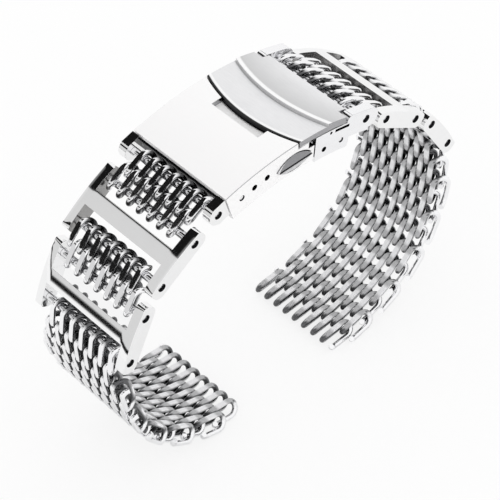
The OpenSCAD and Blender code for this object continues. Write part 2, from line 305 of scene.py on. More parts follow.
@dataclass(frozen=True)
class Arch:
    """The arch that the clasp's top follows. Sizes are in millimetres."""

    axis: tuple[float, float] = (-1.07104, 2.77939)
    radius: float = 54.0
    half_width: float = 10.5

    def arm(self, middle: Vector) -> Vector:
        """The line from the arch's axis to a point in metres."""
        along, up = self.axis
        return Vector((0, middle.y / MM - along, middle.z / MM - up))

    def ring(self, middle: Vector) -> float:
        """A point's distance from the axis."""
        return self.arm(middle).length

    def slope(self, middle: Vector, normal: Vector) -> float:
        """How squarely a face looks away from the axis, up to 1."""
        return normal.dot(self.arm(middle).normalized())

    def turn(self, middle: Vector) -> float:
        """A point's angle past the top of the arch, in degrees."""
        arm = self.arm(middle)
        return math.degrees(math.atan2(arm.y, arm.z))


class EffectGroup:
    """A shader node group with named inputs and outputs, built once and placed in many materials."""

    def __init__(self, name: str, inputs: dict[str, float], outputs: list[str]) -> None:
        """Makes the group's tree and its sockets.

        Args:
            name: The group's name.
            inputs: The named inputs with their first values.
            outputs: The named outputs.
        """
        self.tree = bpy.data.node_groups.new(name, "ShaderNodeTree")
        for label, value in inputs.items():
            socket = self.tree.interface.new_socket(label, in_out="INPUT", socket_type="NodeSocketFloat")
            socket.default_value = value
        for label in outputs:
            self.tree.interface.new_socket(label, in_out="OUTPUT", socket_type="NodeSocketFloat")
        self.entry = self.tree.nodes.new("NodeGroupInput")
        self.exit = self.tree.nodes.new("NodeGroupOutput")

    def value(self, label: str) -> Formula:
        """One of the group's inputs as a formula."""
        return Formula(self.tree, self.entry.outputs[label])

    def give(self, label: str, result: Formula) -> None:
        """Joins a result to one of the group's outputs."""
        self.tree.links.new(result.socket, self.exit.inputs[label])

    def noise(self, stretch: Colour, detail: float, scale: Formula | None = None) -> Formula:
        """A noise pattern on Object coordinates in millimetres.

        Args:
            stretch: How fine the pattern is along X, Y and Z.
            detail: The noise's levels of detail.
            scale: The pattern's own scale, or None for 1.

        Returns:
            The pattern from 0 to 1.
        """
        nodes, links = self.tree.nodes, self.tree.links
        place = nodes.new("ShaderNodeTexCoord")
        mapping = nodes.new("ShaderNodeMapping")
        mapping.inputs["Scale"].default_value = [s / MM for s in stretch]
        pattern = nodes.new("ShaderNodeTexNoise")
        pattern.inputs["Scale"].default_value = 1.0
        pattern.inputs["Detail"].default_value = detail
        links.new(place.outputs["Object"], mapping.inputs["Vector"])
        links.new(mapping.outputs["Vector"], pattern.inputs["Vector"])
        if scale is not None:
            links.new(scale.socket, pattern.inputs["Scale"])
        return Formula(self.tree, pattern.outputs["Fac"])

    def place(self, tree: bpy.types.NodeTree, **values: float) -> Callable[[str], Formula]:
        """Puts the group into a material.

        Args:
            tree: The material's node tree.
            values: The group's inputs by name.

        Returns:
            What gives the group's outputs by name.
        """
        node = tree.nodes.new("ShaderNodeGroup")
        node.node_tree = self.tree
        for label, value in values.items():
            node.inputs[label].default_value = value
        return lambda label: Formula(tree, node.outputs[label])


def brushed_grain() -> EffectGroup:
    """Fine parallel lines across the band, as an abrasive belt leaves them."""
    group = EffectGroup("brushed_grain", {"Fineness": 1.0, "Contrast": 1.0}, ["Lines"])
    lines = group.noise(stretch=(0.35, 9.0, 9.0), detail=3.0, scale=group.value("Fineness"))
    group.give("Lines", ((lines - 0.5) * group.value("Contrast")) + 0.5)
    return group


def handling_marks() -> EffectGroup:
    """Soft smudges and sparse fine scratches left by use."""
    group = EffectGroup("handling_marks", {"Smudge": 0.5, "Scratch": 0.5}, ["Marks", "Height"])
    scratch_from, scratch_steepness = 0.68, 9.0
    smudge_from, smudge_steepness = 0.45, 2.5
    thin = ((group.noise(stretch=(0.6, 5.0, 1.3), detail=2.0) - scratch_from) * scratch_steepness).clamped()
    soft = ((group.noise(stretch=(0.28, 0.28, 0.28), detail=4.0) - smudge_from) * smudge_steepness).clamped()
    scratches = thin * group.value("Scratch")
    group.give("Marks", (soft * group.value("Smudge") + scratches).math("MINIMUM", 1.0))
    group.give("Height", scratches)
    return group


def bow_lines() -> EffectGroup:
    """The flap's painted light: a highlight on lip and bead, a shadow line under each, shade behind."""
    inputs = {"Bow": FRONT_BOW.radius, "Front": FRONT_BOW.centre, "Step": STEP_BOW.centre}
    group = EffectGroup("bow_lines", inputs, ["Bright", "Dark", "Shade"])
    x, y, _ = coordinates(group.tree, "Object")
    across, along = x / MM, y / MM

    def behind(line: str) -> Formula:
        """How far a point lies behind a bowed line, seen from above, in millimetres."""
        away = along - group.value(line)
        return group.value("Bow") - (across * across + away * away).math("SQRT")

    front, step = behind("Front"), behind("Step")
    # Painted highlights along the bead and the lip
    bead, lip = step.band(0.05, 0.75, 0.3), front.band(0.42, 0.8, 0.2)
    group.give("Bright", bead.math("MAXIMUM", lip))
    # Painted shadow lines under the bead and under the front edge
    bead_shadow_line, lip_shadow_line = step.band(-0.3, 0.0, 0.2) * 0.45, front.band(-1.0, 0.34, 0.08)
    group.give("Dark", lip_shadow_line.math("MAXIMUM", bead_shadow_line))
    # Painted shade behind the bead, fading towards the back
    fading = ((step - 0.7) * -0.16 + 1.0).clamped()
    group.give("Shade", fading * step.band(0.7, 90.0, 0.4))
    return group


def steel(level: float, tint: float = 0.01) -> Colour:
    """A grey that is a little stronger in blue."""
    return level, level, level + tint


# How far marks and brushed lines turn a finish towards its shade, and how far marks dull it
MARK_TONE, LINE_TONE, MARK_GLOSS = 0.5, 0.35, 0.6
LEAST_ROUGHNESS = 0.02
RELIEF_STRENGTH, SCRATCH_DEPTH = 0.6, -0.5

# Painted shade, highlight and shadow laid over the flap's colour: the output, its grey and its greatest share
BOW_PAINTED_LIGHT = (("Shade", 0.45, 0.6), ("Bright", 1.0, 0.9), ("Dark", 0.01, 1.0))


@dataclass(frozen=True)
class SteelFinish:
    """One steel surface: its colour, its gloss, and how strongly it was brushed and handled.

    The shade is what brushed lines and marks turn the colour towards, and the spread is how much they vary
    the roughness. Hollows are turned towards the same shade as painted shade, by the light that a coil stores.
    The bump is the brushed lines' depth in millimetres.
    """

    name: str
    colour: Colour
    shade: Colour
    roughness: float
    spread: float
    fineness: float = 1.0
    contrast: float = 0.6
    bump: float = 0.002
    smudge: float = 0.2
    scratch: float = 0.2
    metallic: float = 1.0
    # How strongly painted shade darkens a coil's hollows, and the stored light over which it fades out
    depth_shade: float = 0.0
    depth_range: tuple[float, float] = (0.62, 0.96)
    matt_inside: float = 0.0
    # Whether the flap's painted highlights, shadow lines and shade are laid over the colour
    bowed: bool = False

    def tone(self, lines: Formula, marks: Formula) -> bpy.types.NodeSocket:
        """The surface's colour, with the painted shade of hollows, before the flap's painted light.

        Args:
            lines: The brushed lines.
            marks: The handling marks.

        Returns:
            The socket that gives the colour.
        """
        weight = (marks * MARK_TONE) + (lines * LINE_TONE)
        # Painted shade: a coil's crevices turn towards the shade colour where its stored light is low
        if self.depth_shade:
            low, high = self.depth_range
            painted_light_share = ((stored_number(lines.tree, "depth") - low) / (high - low)).clamped()
            painted_hollow_weight = (painted_light_share * -self.depth_shade) + self.depth_shade
            weight = (weight * (1.0 - self.depth_shade)) + painted_hollow_weight
        return blend(weight.math("MINIMUM", 1.0), self.colour, self.shade)

    def material(self, grain: EffectGroup, marks: EffectGroup, bows: EffectGroup) -> bpy.types.Material:
        """Builds the finish's material from the shared effects.

        Args:
            grain: The brushed grain.
            marks: The handling marks.
            bows: The flap's painted highlights, shadow lines and shade.

        Returns:
            The material.
        """
        material = bpy.data.materials.new(self.name)
        material.use_nodes = True
        tree = material.node_tree
        join = tree.links.new
        shader = tree.nodes["Principled BSDF"]
        shader.inputs["Metallic"].default_value = self.metallic
        lines = grain.place(tree, Fineness=self.fineness, Contrast=self.contrast)("Lines")
        wear_and_end_shade = marks.place(tree, Smudge=self.smudge, Scratch=self.scratch)
        colour = self.tone(lines, wear_and_end_shade("Marks"))
        # The flap's painted highlights, shadow lines and shade
        if self.bowed:
            drawn = bows.place(tree)
            for label, grey, most in BOW_PAINTED_LIGHT:
                colour = blend(drawn(label) * most, colour, steel(grey, 0.0))
        join(colour, shader.inputs["Base Color"])
        gloss = (lines * self.spread) + (wear_and_end_shade("Marks") * self.spread * MARK_GLOSS)
        gloss = gloss + (self.roughness - self.spread / 2)
        if self.matt_inside:
            matt = stored_number(tree, "inside") * self.matt_inside
            gloss = gloss + matt
            join((matt * -1.0 + self.metallic).socket, shader.inputs["Metallic"])
        join(gloss.math("MAXIMUM", LEAST_ROUGHNESS).socket, shader.inputs["Roughness"])
        bump = tree.nodes.new("ShaderNodeBump")
        bump.inputs["Distance"].default_value = self.bump * MM
        bump.inputs["Strength"].default_value = RELIEF_STRENGTH
        join((lines + (wear_and_end_shade("Height") * SCRATCH_DEPTH)).socket, bump.inputs["Height"])
        join(bump.outputs["Normal"], shader.inputs["Normal"])
        return material


FINISHES: dict[str, SteelFinish] = {
    finish.name: finish for finish in (
        # The ground wire's near-black shade is mostly the painted shade of its crevices
        SteelFinish("ground_wire", steel(0.95), (0.05, 0.051, 0.055), roughness=0.07, spread=0.04,
                    fineness=0.6, contrast=0.4, bump=0.003, smudge=0.1, depth_shade=0.9, matt_inside=0.65),
        SteelFinish("mirror_link", steel(0.95, 0.0), steel(0.74), roughness=0.04, spread=0.02,
                    fineness=0.5, contrast=0.3, bump=0.0006, scratch=0.15),
        SteelFinish("polished_plate", steel(0.94), steel(0.74, 0.02), roughness=0.16, spread=0.06,
                    fineness=0.6, contrast=0.5),
        SteelFinish("satin_cover", (0.99, 0.985, 0.985), (0.92, 0.915, 0.92), roughness=0.50, spread=0.10,
                    fineness=1.2, contrast=1.2, smudge=0.1, scratch=0.1, metallic=0.12),
        SteelFinish("satin_flap", steel(0.88), steel(0.66), roughness=0.42, spread=0.14, fineness=1.5,
                    contrast=1.8, bump=0.005, smudge=0.3, scratch=0.3, metallic=0.45, bowed=True),
        # Painted shade in dark grey on the flap's sides
        SteelFinish("flap_edge", steel(0.42), steel(0.22), roughness=0.30, spread=0.12,
                    contrast=1.2, bump=0.003, smudge=0.3),
        # Grey painted shade along eased edges and recess walls
        SteelFinish("edge_line", steel(0.50), steel(0.34), roughness=0.20, spread=0.08, smudge=0.3),
        # Painted shade in dark grey on the walls of the inner links' notches
        SteelFinish("notch_wall", (0.40, 0.395, 0.39), (0.16, 0.158, 0.158), roughness=0.25, spread=0.10,
                    contrast=1.4, bump=0.003, smudge=0.3),
        # Near-black painted shade for bores, gaps, recesses, a button's ridge and the end link's crossbar
        SteelFinish("dark_bore", (0.02, 0.02, 0.022), (0.01, 0.01, 0.011), roughness=0.35, spread=0.10,
                    contrast=0.5, scratch=0.1),
        # The buttons' upper slopes: a shaded copy of the lower slopes' steel, as painted shade
        SteelFinish("button_top", steel(0.34), steel(0.08), roughness=0.30, spread=0.14,
                    fineness=1.6, contrast=2.4, bump=0.004),
        SteelFinish("button_low", steel(0.84), steel(0.40), roughness=0.26, spread=0.14,
                    fineness=1.6, contrast=2.4, bump=0.004),
        SteelFinish("bright_end", steel(0.93), steel(0.62, 0.02), roughness=0.16, spread=0.06, fineness=0.6),
        SteelFinish("rolled_blade", steel(0.76), steel(0.50, 0.02), roughness=0.32, spread=0.14,
                    fineness=0.8, contrast=1.5, bump=0.005, smudge=0.4, scratch=0.5),
        SteelFinish("turned_pin", steel(0.66, 0.02), steel(0.30, 0.02), roughness=0.24, spread=0.10,
                    fineness=2.0, contrast=1.2, bump=0.004, smudge=0.4, scratch=0.3),
        SteelFinish("drawn_spring", steel(0.72, 0.02), steel(0.45, 0.02), roughness=0.28, spread=0.10,
                    fineness=2.0, contrast=0.8, bump=0.003),
    )
}


class Workshop:
    """Makes each finish's material once, on first use."""

    def __init__(self) -> None:
        """Builds the shared effects."""
        self.effects = brushed_grain(), handling_marks(), bow_lines()
        self.made: dict[str, bpy.types.Material] = {}

    def material(self, name: str) -> bpy.types.Material:
        """The material of a named finish."""
        if name not in self.made:
            self.made[name] = FINISHES[name].material(*self.effects)
        return self.made[name]


class CoilTree:
    """The node tree that winds one row of the mesh from its counts and its sizes in metres."""

    INPUTS = {
        "NodeSocketInt": ("Turns", "Sides", "Arc Steps"),
        "NodeSocketFloat": (
            "Pitch", "Rise", "Strand", "First", "Shift", "Wire Radius", "Outer Face", "Inner Face"),
        "NodeSocketMaterial": ("Material",),
    }
    CRISP_ANGLE = math.radians(32)
    RING_GAP = 0.28

    def __init__(self) -> None:
        """Builds the tree: a flat sheet is rolled into the wire, lit, closed, shaded and painted."""
        self.tree = bpy.data.node_groups.new("wound_row", "GeometryNodeTree")
        for kind, labels in self.INPUTS.items():
            for label in labels:
                self.tree.interface.new_socket(label, in_out="INPUT", socket_type=kind)
        self.tree.interface.new_socket("Geometry", in_out="OUTPUT", socket_type="NodeSocketGeometry")
        self.entry = self.tree.nodes.new("NodeGroupInput")
        # Each half-turn has its arc and three more rings, and the last one has no arc
        self.group = self.size("Arc Steps") + 3.0
        self.rings = (self.size("Turns") * 2.0) * self.group - self.size("Arc Steps")
        join = self.tree.links.new

        sheet = self.tree.nodes.new("GeometryNodeMeshGrid")
        join(self.rings.socket, sheet.inputs["Vertices X"])
        join((self.size("Sides") + 1.0).socket, sheet.inputs["Vertices Y"])
        x, y, z = self.wound_place()
        position = self.tree.nodes.new("ShaderNodeCombineXYZ")
        for value, label in ((x, "X"), (y, "Y"), (z, "Z")):
            join(value.socket, position.inputs[label])
        wound = self.after(sheet, "GeometryNodeSetPosition")
        join(position.outputs[0], wound.inputs["Position"])

        # The painted light is stored as depth, and the wire's material darkens its crevices by it as painted shade
        lit = self.store(wound, "depth", self.light(x, y, z))
        marked = self.store(lit, "inside", (z / self.size("Inner Face")).clamped())
        closed = self.after(marked, "GeometryNodeMergeByDistance")
        closed.inputs["Distance"].default_value = TOUCHING
        smooth = self.after(self.after(closed, "GeometryNodeFlipFaces"), "GeometryNodeSetShadeSmooth")
        crisp = self.after(smooth, "GeometryNodeSetShadeSmooth")
        crisp.domain = "EDGE"
        crisp.inputs["Shade Smooth"].default_value = False
        angle = self.tree.nodes.new("GeometryNodeInputMeshEdgeAngle")
        bend = Formula(self.tree, angle.outputs["Unsigned Angle"])
        join(bend.math("GREATER_THAN", self.CRISP_ANGLE).socket, crisp.inputs["Selection"])

        painted = self.after(self.after(crisp, "GeometryNodeRealizeInstances"), "GeometryNodeSetMaterial")
        join(self.entry.outputs["Material"], painted.inputs["Material"])
        leave = self.tree.nodes.new("NodeGroupOutput")
        join(painted.outputs[0], leave.inputs["Geometry"])

    def size(self, label: str) -> Formula:
        """One of the tree's inputs as a formula."""
        return Formula(self.tree, self.entry.outputs[label])

    def after(self, node: bpy.types.Node, kind: str) -> bpy.types.Node:
        """Adds a node of a kind that takes on another node's geometry."""
        following = self.tree.nodes.new(kind)
        self.tree.links.new(node.outputs[0], following.inputs[0])
        return following

    def store(self, node: bpy.types.Node, name: str, value: Formula) -> bpy.types.Node:
        """Adds a node that stores a number at the points of another node's geometry.

        Args:
            node: The node that gives the geometry.
            name: The attribute's name.
            value: The number.

        Returns:
            The added node.
        """
        keep = self.after(node, "GeometryNodeStoreNamedAttribute")
        keep.data_type, keep.domain = "FLOAT", "POINT"
        keep.inputs["Name"].default_value = name
        self.tree.links.new(value.socket, keep.inputs["Value"])
        return keep

    def wound_place(self) -> tuple[Formula, Formula, Formula]:
        """Where each point of the sheet lies once the wire is wound.

        Returns:
            The place across the band, along it and over the row's middle plane.
        """
        size = self.size
        turns, sides, steps, pitch = size("Turns"), size("Sides"), size("Arc Steps"), size("Pitch")
        index = Formula(self.tree, self.tree.nodes.new("GeometryNodeInputIndex").outputs[0])
        column = ((index + 0.5) / (sides + 1.0)).math("FLOOR")
        around = index - column * (sides + 1.0)

        # The first and last rings close the wire's ends, so they lie on the rings next to them
        ring = (column - 1.0).math("MAXIMUM", 0.0).math("MINIMUM", self.rings - 3.0)
        is_cap = (column - 1.0 - ring).math("ABSOLUTE")
        ring = ring + steps / 2.0 + 1.0
        half_turn = ((ring + 0.5) / self.group).math("FLOOR")
        place = ring - half_turn * self.group - 1.0
        end = half_turn.math("MODULO", 2.0) * 2.0 - 1.0

        # Each half-turn has one more ring on the strand before it and one on the strand after it
        step = place.math("MAXIMUM", 0.0).math("MINIMUM", steps)
        on_strand = (place - step).math("ABSOLUTE")
        share = step / steps

        quarter = pitch / 4.0
        tilt = quarter.math("ARCTAN2", size("Rise"))
        radius = (quarter * quarter + size("Rise") * size("Rise")).math("SQRT")
        turned = end * ((share * -math.pi) + math.pi / 2)
        side_angle = (sides.math("POWER", -1.0)) * (2 * math.pi)
        slip = (side_angle - tilt) * 2.0
        angle = (around + half_turn * 2.0) * side_angle + tilt + slip * share
        thickness = size("Wire Radius") * ((is_cap * -1.0) + 1.0)
        out = radius + thickness * angle.cos()
        sideways = thickness * angle.sin()
        centre = size("Shift") - (turns - 1.0) * pitch / 2.0 + (half_turn / 2.0 - 0.25) * pitch
        x = centre - out * turned.sin() * end * tilt.sin() + sideways * tilt.cos()
        y = size("First") + size("Strand") * (end + 1.0) / 2.0 + out * end * turned.cos()
        y = y - on_strand * end * size("Strand") * self.RING_GAP
        z = out * turned.sin() * tilt.cos() + sideways * end * tilt.sin()
        return x, y, z.math("MINIMUM", size("Outer Face")).math("MAXIMUM", size("Inner Face"))

    def light(self, x: Formula, y: Formula, z: Formula) -> Formula:
        """How much light reaches a point of the coil, from 0 deep in the mesh to 1 on its faces.

        Args:
            x: The point's place across the band.
            y: The point's place along it.
            z: The point's height over the row's middle plane.

        Returns:
            The light, which is full on the ground faces and at both ends of the row.
        """
        size = self.size
        half = size("Strand") / 2.0
        along = ((y - size("First") - half) / half).math("ABSOLUTE")
        height = z / size("Outer Face")
        # Painted light: full on the outer faces; on the inner faces it falls off towards the strand's ends as
        # painted shade
        inside = ((height + 0.74) / -0.12).clamped()
        wear_and_end_shade = (along * -0.9 + 1.5).clamped()
        outer = height.math("ABSOLUTE") * (inside * (wear_and_end_shade - 1.0) + 1.0)
        face = (outer + inside * 0.12).math("MAXIMUM", inside * 0.8)
        # Painted light: the loops at both ends of the row stay lit
        last_turn = (size("Turns") - 1.0) * size("Pitch") / 2.0
        row_end = ((x - size("Shift")).math("ABSOLUTE") - last_turn + 0.9 * MM) / (0.5 * MM)
        return face.math("MAXIMUM", row_end).clamped()


@dataclass(frozen=True)
class WireCoil:
    """One row of the mesh: a round wire wound flat and ground on both faces. Sizes are in millimetres."""

    turns: int
    strand: float
    first: float
    shift: float
    pitch: float = 2.32
    rise: float = 1.3
    wire_radius: float = 0.475
    sides: int = 16
    ground_sides: int = 3
    arc_steps: int = 12

    def values(self, material: bpy.types.Material) -> dict[str, object]:
        """The tree's inputs by name, in metres.

        Args:
            material: The wire's material.

        Returns:
            The inputs.
        """
        face = self.rise + self.wire_radius * math.cos(self.ground_sides * 2 * math.pi / self.sides)
        return {
            "Turns": self.turns, "Sides": self.sides, "Arc Steps": self.arc_steps,
            "Pitch": self.pitch * MM, "Rise": self.rise * MM, "Strand": self.strand * MM,
            "First": self.first * MM, "Shift": self.shift * MM, "Wire Radius": self.wire_radius * MM,
            "Outer Face": face * MM, "Inner Face": -face * MM, "Material": material,
        }

    def build(self, name: str, tree: bpy.types.NodeTree, place: Matrix,
              material: bpy.types.Material) -> bpy.types.Object:
        """Winds the coil and stands it in its place.

        Args:
            name: The piece's name.
            tree: The tree that winds a coil.
            place: The row's place, with Y along the band and Z outwards.
            material: The wire's material.

        Returns:
            The finished piece.
        """
        piece = add_object(name, bpy.data.meshes.new(name))
        modifier = piece.modifiers.new("wind", "NODES")
        modifier.node_group = tree
        sockets = {s.name: s.identifier for s in tree.interface.items_tree if s.in_out == "INPUT"}
        for label, value in self.values(material).items():
            modifier[sockets[label]] = value
        apply_modifiers(piece)
        piece.data.transform(place)
        return piece


@dataclass(frozen=True)
class MeshStrap:
    """All rows of one side, from the clasp to the lug bar. Sizes are in millimetres."""

    side: Side
    rows: int
    pin_slack: float = 0.12
    loop_inset: float = 0.5
    strand: float = 2.65
    short_strand: float = 2.18
    wide_turns: int = 9
    narrow_turns: int = 7
    narrow_rows: int = 2

    def chain(self) -> list[str]:
        """The nodes of this side that hang on one another, in order."""
        names = ["insert_a1", "insert_a2", "inner_link", "insert_b1", "insert_b2", "outer_link"]
        names += [f"mesh_row_{k}" for k in range(1, self.rows + 1)]
        return [f"{self.side.word}_{name}" for name in names]

    def place(self, start: Vector, end: Vector) -> Matrix:
        """The place of a row between two hinge lines.

        Args:
            start: A point on its own hinge line.
            end: A point on the next one.

        Returns:
            The matrix with Y along the band, Z outwards and X across.
        """
        along = (end - start).normalized()
        across = Vector((self.side.value, 0, 0))
        turn = Matrix((across, along, across.cross(along))).transposed().to_4x4()
        return Matrix.Translation(start) @ turn

    def coil(self, number: int, name: str) -> WireCoil:
        """The sizes of one row's coil.

        Args:
            number: The row's number in the chain.
            name: The row's node.

        Returns:
            The coil.
        """
        first_row = len(self.chain()) - self.rows
        hangs_on_pin = name.endswith(("_a1", "_b1")) or number == first_row
        return WireCoil(
            turns=self.narrow_turns if number < first_row + self.narrow_rows else self.wide_turns,
            strand=self.short_strand if number < first_row else self.strand,
            first=self.pin_slack if hangs_on_pin else self.loop_inset,
            shift=(-1 if number % 2 == 0 else 1) * WireCoil.pitch / 4,
        )

    def build(self, tree: bpy.types.NodeTree, workshop: Workshop) -> None:
        """Builds every row of this side.

        Args:
            tree: The tree that winds a coil.
            workshop: The materials.
        """
        names = self.chain()
        starts = [hinge_place(name + "_hinge") for name in names]
        lug = next(m["pos_m"] for m in frame["record"]["mounts"] if m["name"] == self.side.word + "_lug_bar")
        ends = starts[1:] + [Vector(lug)]
        wire = workshop.material("ground_wire")
        for number, (name, start, end) in enumerate(zip(names, starts, ends)):
            if not name.endswith("_link"):
                piece = self.coil(number, name).build("coil_" + name, tree, self.place(start, end), wire)
                place_piece(piece, body_of(name), Slot.MESH, name)


@dataclass(frozen=True)
class EasedCopy:
    """A rigid node that is shown as a copy with its edges eased. Sizes are in millimetres.

    An edge of 0 leaves the edges crisp, and wide_edges chooses those that are eased by the greater width
    from their middle and direction. Of the zones, the last that fits a face gives its finish. Edges up to
    the merge length are closed up first, because they would stop the easing.
    """

    node: str
    finish: str
    slot: Slot
    edge: float = 0.1
    steps: int = 2
    zones: tuple[Zone, ...] = ()
    shaping: Callable[[bmesh.types.BMesh], None] | None = None
    wide: float = 0.0
    wide_edges: FaceTest | None = None
    merge: float = 0.012

    @property
    def widest(self) -> float:
        """The greatest width of the copy's eased edges."""
        return max(self.edge, self.wide)

    def merged(self) -> bmesh.types.BMesh:
        """The node's loose triangles as one shape with whole flat faces."""
        shape = bmesh.new()
        shape.from_mesh(frame["nodes"][self.node].data)
        bmesh.ops.remove_doubles(shape, verts=shape.verts, dist=self.merge * MM)
        bmesh.ops.dissolve_limit(shape, angle_limit=math.radians(0.4), verts=shape.verts, edges=shape.edges)
        if self.shaping:
            self.shaping(shape)
        shape.verts.index_update()
        return shape

    def weigh_edges(self, shape: bmesh.types.BMesh, mesh: bpy.types.Mesh) -> None:
        """Marks the sharp edges with their share of the widest easing.

        Args:
            shape: The merged copy, whose vertices are numbered as in the mesh.
            mesh: The new mesh.
        """
        shares: dict[frozenset[int], float] = {}
        for edge in shape.edges:
            if edge.calc_face_angle(0.0) > SHARP_ANGLE:
                first, second = (v.co for v in edge.verts)
                wide = self.wide_edges is not None and self.wide_edges((first + second) / 2, second - first)
                shares[frozenset(v.index for v in edge.verts)] = 1.0 if wide else self.edge / self.widest
        weights = mesh.attributes.new("bevel_weight_edge", "FLOAT", "EDGE")
        weights.data.foreach_set("value", [shares.get(frozenset(e.vertices), 0.0) for e in mesh.edges])

    def ease(self, piece: bpy.types.Object, shape: bmesh.types.BMesh) -> None:
        """Eases the marked edges and evens out the shading of the flats.

        Args:
            piece: The object of the copy.
            shape: The merged copy.
        """
        if self.edge:
            self.weigh_edges(shape, piece.data)
            bevel = piece.modifiers.new("ease", "BEVEL")
            bevel.width = self.widest * MM
            bevel.segments = self.steps
            bevel.limit_method = "WEIGHT"
            bevel.harden_normals = True
        else:
            piece.data.set_sharp_from_angle(angle=SHARP_ANGLE)
        flats = piece.modifiers.new("flats", "WEIGHTED_NORMAL")
        flats.keep_sharp = True
        apply_modifiers(piece)

    def paint(self, mesh: bpy.types.Mesh, workshop: Workshop) -> None:
        """Gives the faces of each zone the zone's own finish.

        Args:
            mesh: The finished mesh.
            workshop: The materials.
        """
        for finish, test in self.zones:
            mesh.materials.append(workshop.material(finish))
            number = len(mesh.materials) - 1
            for face in mesh.polygons:
                if test(face.center, face.normal):
                    face.material_index = number

    def build(self, workshop: Workshop) -> None:
        """Copies the node, eases its edges and puts the copy in its place.

        Args:
            workshop: The materials.
        """
        shape = self.merged()
        name = "finished_" + self.node
        mesh = bpy.data.meshes.new(name)
        faces = [[v.index for v in f.verts] for f in shape.faces]
        mesh.from_pydata([v.co[:] for v in shape.verts], [], faces)
        mesh.polygons.foreach_set("use_smooth", [True] * len(mesh.polygons))
        mesh.materials.append(workshop.material(self.finish))
        piece = add_object(name, mesh)
        self.ease(piece, shape)
        shape.free()
        self.paint(piece.data, workshop)
        place_piece(piece, body_of(self.node), self.slot, self.node)


@dataclass(frozen=True)
class Dome:
    """The soft swell of a link's outer face, lowest along its ends and sides. Sizes are in millimetres."""

    middle: Vector
    along: Vector
    outwards: Vector
    half_length: float = 6.2
    half_thickness: float = 1.65
    end_drop: float = 0.48
    side_drop: float = 0.25
    flat_half: float = 8.3
    half_width: float = 10.5
    slices: int = 6
    rim_slices: int = 5

    def __call__(self, shape: bmesh.types.BMesh) -> None:
        """Cuts the link into strips and lowers its outer face.

        Args:
            shape: The merged copy of the link.
        """
        step = self.half_length / self.slices
        for k in range(1 - self.slices, self.slices):
            cut_faces(shape, self.middle + self.along * (k * step * MM), self.along)
        rim = self.half_width - self.flat_half
        for k in range(self.rim_slices):
            for sign in (-1, 1):
                x = sign * (self.flat_half + rim * k / self.rim_slices)
                cut_faces(shape, Vector((x, 0, 0)) * MM, Vector((1, 0, 0)))
        for vertex in shape.verts:
            place = (vertex.co - self.middle) / MM
            height = place.dot(self.outwards) / self.half_thickness
            if height > 0:
                end = place.dot(self.along) / self.half_length
                side = max(0.0, abs(place.x) - self.flat_half) / rim
                drop = self.end_drop * end ** 2 + self.side_drop * side ** 2
                vertex.co -= self.outwards * (drop * height ** 4 * MM)


@dataclass(frozen=True)
class Links:
    """The four H-shaped links with their pins. Sizes are in millimetres."""

    edge: float = 0.3
    pin_edge: float = 0.18
    bore: float = 0.84
    notch_half: float = 9.2

    def notch_walls(self, along: Vector) -> FaceTest:
        """Chooses the walls of a link's two notches.

        Args:
            along: The link's direction along the band.

        Returns:
            A test of a face's middle and normal.
        """
        return lambda middle, normal: (abs(middle.x) < self.notch_half * MM
                                       and (abs(normal.x) > SIDEWAYS or abs(normal.dot(along)) > 0.8))

    def build(self, workshop: Workshop) -> None:
        """Builds the links and their pins."""
        for side in Side:
            for place, following in (("inner", "insert_b1"), ("outer", "mesh_row_1")):
                link = f"{side.word}_{place}_link"
                first, second = hinge_place(link + "_hinge"), hinge_place(f"{side.word}_{following}_hinge")
                along = (second - first).normalized()
                outwards = Vector((side.value, 0, 0)).cross(along)
                # Painted shade: near-black bore walls, and dark grey notch walls on the inner links
                bores = ("dark_bore", bore_walls((first, self.bore), (second, self.bore)))
                zones = (("notch_wall", self.notch_walls(along)), bores) if place == "inner" else (bores,)
                EasedCopy(link, "mirror_link", Slot.POLISHED, self.edge, 4, zones,
                          Dome((first + second) / 2, along, outwards)).build(workshop)
                EasedCopy(link + "_pins", "bright_end", Slot.PIN, self.pin_edge).build(workshop)


